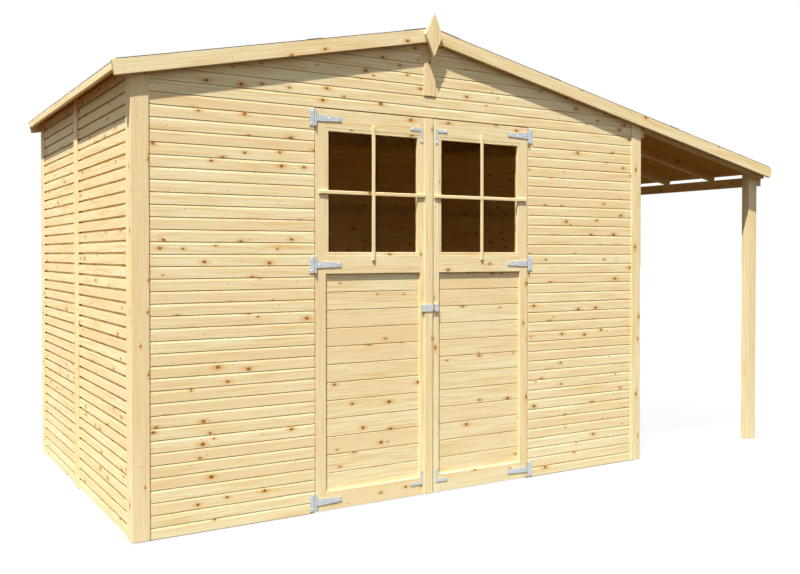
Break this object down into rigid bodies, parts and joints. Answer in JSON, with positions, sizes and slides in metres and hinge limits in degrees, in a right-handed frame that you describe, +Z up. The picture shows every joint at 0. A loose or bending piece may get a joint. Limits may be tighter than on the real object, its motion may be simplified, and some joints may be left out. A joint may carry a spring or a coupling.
{
  "type": "wooden garden shed with a side canopy",
  "caption": "Gabled wooden garden shed of horizontal boards with a pair of half-glazed outward doors and an open side canopy under the longer roof slope.",
  "frame": {"origin": "on the ground, at the middle of the whole building's outline, roof ends and finials included", "axes": "+X to the right along the doored front, +Y to the rear, +Z up"},
  "size_m": [4.046, 1.984, 2.295],
  "materials": {
    "pine": "planed, untreated, with knots",
    "roof_felt": "mineral-faced bitumen felt",
    "galvanised_steel": "zinc plated",
    "window_glass": "clear sheet"
  },
  "bodies": {
    "shed": {"bottom_plates": "pine", "cabin_rafters": "pine", "canopy_beam": "pine", "canopy_ledger": "pine", "canopy_posts": "pine", "canopy_rafters": "pine", "cover_battens": "pine", "door_head": "pine", "eave_fascias": "pine", "finials": "pine", "floor_bearers": "pine", "floor_boards": "pine", "front_wall": "pine", "gable_corner_boards": "pine", "gables": "pine", "hinge_plates": "galvanised_steel", "left_bargeboards": "pine", "left_roof_deck": "pine", "left_roof_felt": "roof_felt", "left_wall": "pine", "rear_wall": "pine", "ridge_block": "pine", "ridge_purlin": "pine", "right_bargeboards": "pine", "right_roof_deck": "pine", "right_roof_felt": "roof_felt", "right_wall": "pine", "side_corner_boards": "pine", "top_plates": "pine", "wall_studs": "pine"},
    "left_door": {"latch": "galvanised_steel", "left_door_braces": "galvanised_steel", "left_door_glass": "window_glass", "left_door_panel": "pine", "left_door_rails": "pine", "left_door_stiles": "pine", "left_door_straps": "galvanised_steel", "meeting_strip": "pine"},
    "right_door": {"latch_keeper": "galvanised_steel", "right_door_braces": "galvanised_steel", "right_door_glass": "window_glass", "right_door_panel": "pine", "right_door_rails": "pine", "right_door_stiles": "pine", "right_door_straps": "galvanised_steel"}
  },
  "joints": [
    {"name": "left_door_hinge", "type": "hinge", "parent": "shed", "child": "left_door", "pos_m": [-1.132, -0.955, 0.9], "axis": [0, 0, -1], "range_deg": [0, 150]},
    {"name": "right_door_hinge", "type": "hinge", "parent": "shed", "child": "right_door", "pos_m": [0.085, -0.955, 0.9], "axis": [0, 0, 1], "range_deg": [0, 150]}
  ]
}
